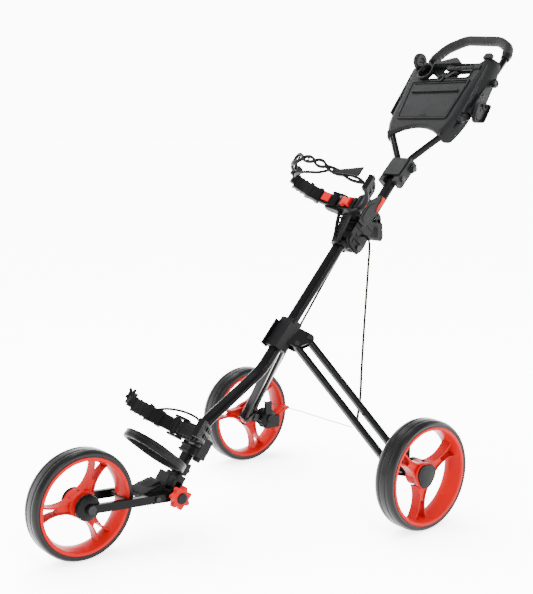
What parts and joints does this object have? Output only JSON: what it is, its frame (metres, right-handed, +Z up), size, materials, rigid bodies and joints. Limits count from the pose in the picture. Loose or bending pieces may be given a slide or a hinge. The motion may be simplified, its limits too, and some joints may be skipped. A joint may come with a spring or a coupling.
{
  "type": "golf push trolley",
  "caption": "Folding golf push trolley on foam-tyred wheels, with bag cradles, hoop, looped handle, console, foot brake and parallel-link rear legs.",
  "frame": {"origin": "on the floor, under the middle of the trolley's overall box", "axes": "+X to the trolley's left side along the axles, -Y forward towards the front wheel, +Z up"},
  "size_m": [0.739, 1.4533, 1.2076],
  "materials": {
    "black_metal": "satin",
    "black_plastic": "matte",
    "grey_plastic": "matte",
    "red_plastic": "satin",
    "foam_tyre": "matte",
    "foam_grip": "matte",
    "strap_rubber": "satin",
    "cable_jacket": "satin",
    "bright_steel": "satin",
    "black_steel": "satin"
  },
  "bodies": {
    "frame": {"main_tube": "black_metal", "junction_housing": "black_plastic", "frame_screws": "bright_steel", "pivot_pins": "bright_steel", "fold_channel": "black_plastic", "tube_collar": "black_plastic", "cradle_block": "black_plastic", "cradle_cheeks": "grey_plastic", "cradle_trim": "red_plastic", "lower_bracket": "black_plastic", "bag_hoop": "black_plastic", "fork_knuckle": "black_plastic", "right_brake_cable": "cable_jacket", "left_brake_cable": "cable_jacket", "cross_wire": "bright_steel"},
    "cradle_button": {"cradle_button": "red_plastic"},
    "left_arm": {"left_arm": "black_plastic"},
    "right_arm": {"right_arm": "black_plastic", "bag_strap": "strap_rubber"},
    "arm_button": {"arm_button": "red_plastic"},
    "lower_left_arm": {"lower_left_arm": "black_plastic"},
    "lower_right_arm": {"lower_right_arm": "black_plastic"},
    "fork": {"fork_arms": "black_metal", "fork_brace": "grey_plastic", "fork_bolts": "black_steel", "front_axle": "bright_steel", "front_hub_covers": "black_plastic"},
    "star_knob": {"star_knob": "red_plastic"},
    "front_wheel": {"front_tyre": "foam_tyre", "front_rim": "red_plastic", "front_bearings": "bright_steel"},
    "upper": {"upper_tube": "black_metal"},
    "latch_lever": {"latch_lever": "grey_plastic"},
    "handle": {"hinge_block": "grey_plastic", "hinge_bolts": "black_steel", "handle_tube": "black_metal", "handle_grip": "foam_grip", "console_shell": "grey_plastic"},
    "scorecard_lid": {"scorecard_lid": "grey_plastic"},
    "umbrella_holder": {"umbrella_holder": "grey_plastic"},
    "side_knob": {"side_knob": "grey_plastic"},
    "brake_pedal": {"brake_pedal": "red_plastic"},
    "left_rear_leg": {"left_rear_leg": "black_metal"},
    "left_front_leg": {"left_front_leg": "black_metal"},
    "left_hub": {"left_hub_bracket": "black_steel", "left_axle": "bright_steel", "left_brake_housing": "black_plastic"},
    "left_wheel": {"left_tyre": "foam_tyre", "left_rim": "red_plastic", "left_bearings": "bright_steel", "left_hub_cap": "grey_plastic"},
    "right_rear_leg": {"right_rear_leg": "black_metal"},
    "right_front_leg": {"right_front_leg": "black_metal"},
    "right_hub": {"right_hub_bracket": "black_steel", "right_axle": "bright_steel", "right_brake_housing": "black_plastic"},
    "right_wheel": {"right_tyre": "foam_tyre", "right_rim": "red_plastic", "right_bearings": "bright_steel", "right_hub_cap": "grey_plastic"}
  },
  "joints": [
    {"name": "fork_fold", "type": "hinge", "parent": "frame", "child": "fork", "pos_m": [0, -0.3757, 0.107], "axis": [1, 0, 0], "range_deg": [0, 140]},
    {"name": "star_knob_turn", "type": "hinge", "parent": "fork", "child": "star_knob", "pos_m": [0, -0.3757, 0.107], "axis": [1, 0, 0], "continuous": true},
    {"name": "front_wheel_spin", "type": "hinge", "parent": "fork", "child": "front_wheel", "pos_m": [0, -0.6007, 0.126], "axis": [1, 0, 0], "continuous": true},
    {"name": "left_leg_fold", "type": "hinge", "parent": "frame", "child": "left_rear_leg", "pos_m": [0.039, 0.0303, 0.424], "axis": [-0.7268, 0.3779, -0.5735], "range_deg": [0, 60], "deforming": ["left_brake_cable", "cross_wire"]},
    {"name": "left_link_fold", "type": "hinge", "parent": "frame", "child": "left_front_leg", "pos_m": [0.03, -0.0037, 0.413], "axis": [-0.7268, 0.3779, -0.5735], "range_deg": [0, 60]},
    {"name": "left_hub_level", "type": "hinge", "parent": "left_rear_leg", "child": "left_hub", "pos_m": [0.296, 0.1163, 0.155], "axis": [-0.7268, 0.3779, -0.5735], "range_deg": [-60, 0]},
    {"name": "left_wheel_spin", "type": "hinge", "parent": "left_hub", "child": "left_wheel", "pos_m": [0.342, 0.1293, 0.135], "axis": [1, 0, 0], "continuous": true},
    {"name": "right_leg_fold", "type": "hinge", "parent": "frame", "child": "right_rear_leg", "pos_m": [-0.039, 0.0303, 0.424], "axis": [-0.7268, -0.3779, 0.5735], "range_deg": [0, 60], "deforming": ["right_brake_cable"]},
    {"name": "right_link_fold", "type": "hinge", "parent": "frame", "child": "right_front_leg", "pos_m": [-0.03, -0.0037, 0.413], "axis": [-0.7268, -0.3779, 0.5735], "range_deg": [0, 60]},
    {"name": "right_hub_level", "type": "hinge", "parent": "right_rear_leg", "child": "right_hub", "pos_m": [-0.296, 0.1163, 0.155], "axis": [-0.7268, -0.3779, 0.5735], "range_deg": [-60, 0]},
    {"name": "right_wheel_spin", "type": "hinge", "parent": "right_hub", "child": "right_wheel", "pos_m": [-0.342, 0.1293, 0.135], "axis": [1, 0, 0], "continuous": true},
    {"name": "brake_pedal_press", "type": "hinge", "parent": "right_hub", "child": "brake_pedal", "pos_m": [-0.29, 0.1913, 0.121], "axis": [-1, 0, 0], "range_deg": [0, 20]},
    {"name": "upper_fold", "type": "hinge", "parent": "frame", "child": "upper", "pos_m": [0, 0.2093, 0.6435], "axis": [-1, 0, 0], "range_deg": [0, 105]},
    {"name": "latch_lever_open", "type": "hinge", "parent": "upper", "child": "latch_lever", "pos_m": [0, 0.28232, 0.72445], "axis": [1, 0, 0], "range_deg": [0, 45]},
    {"name": "handle_tilt", "type": "hinge", "parent": "upper", "child": "handle", "pos_m": [0, 0.36085, 0.81784], "axis": [-1, 0, 0], "range_deg": [-20, 20]},
    {"name": "lid_open", "type": "hinge", "parent": "handle", "child": "scorecard_lid", "pos_m": [0, 0.53585, 1.06311], "axis": [-1, 0, 0], "range_deg": [0, 100]},
    {"name": "umbrella_holder_swing", "type": "hinge", "parent": "handle", "child": "umbrella_holder", "pos_m": [0.155, 0.53997, 1.00908], "axis": [1, 0, 0], "range_deg": [-60, 60]},
    {"name": "side_knob_turn", "type": "hinge", "parent": "handle", "child": "side_knob", "pos_m": [0.148, 0.5827, 1.07348], "axis": [1, 0, 0], "continuous": true},
    {"name": "left_arm_fold", "type": "hinge", "parent": "frame", "child": "left_arm", "pos_m": [0.052, 0.18965, 0.76261], "axis": [0, -0.6561, -0.7547], "range_deg": [0, 50]},
    {"name": "right_arm_fold", "type": "hinge", "parent": "frame", "child": "right_arm", "pos_m": [-0.052, 0.18965, 0.76261], "axis": [0, 0.6561, 0.7547], "range_deg": [0, 50], "deforming": ["bag_strap"]},
    {"name": "lower_left_arm_fold", "type": "hinge", "parent": "frame", "child": "lower_left_arm", "pos_m": [0.052, -0.31207, 0.24238], "axis": [0, -0.5878, -0.809], "range_deg": [0, 45]},
    {"name": "lower_right_arm_fold", "type": "hinge", "parent": "frame", "child": "lower_right_arm", "pos_m": [-0.052, -0.31207, 0.24238], "axis": [0, 0.5878, 0.809], "range_deg": [0, 45]},
    {"name": "cradle_button_press", "type": "slide", "parent": "frame", "child": "cradle_button", "axis": [0, 0.7547, -0.6561], "range_m": [0, 0.002], "stiffness_N_per_m": 400},
    {"name": "arm_button_press", "type": "slide", "parent": "right_arm", "child": "arm_button", "axis": [-0.515, 0.6469, -0.5624], "range_m": [0, 0.002], "stiffness_N_per_m": 400}
  ],
  "couplings": [
    {"joint": "left_link_fold", "follows": "left_leg_fold", "ratio": 1},
    {"joint": "left_hub_level", "follows": "left_leg_fold", "ratio": -1},
    {"joint": "right_link_fold", "follows": "right_leg_fold", "ratio": 1},
    {"joint": "right_hub_level", "follows": "right_leg_fold", "ratio": -1}
  ]
}
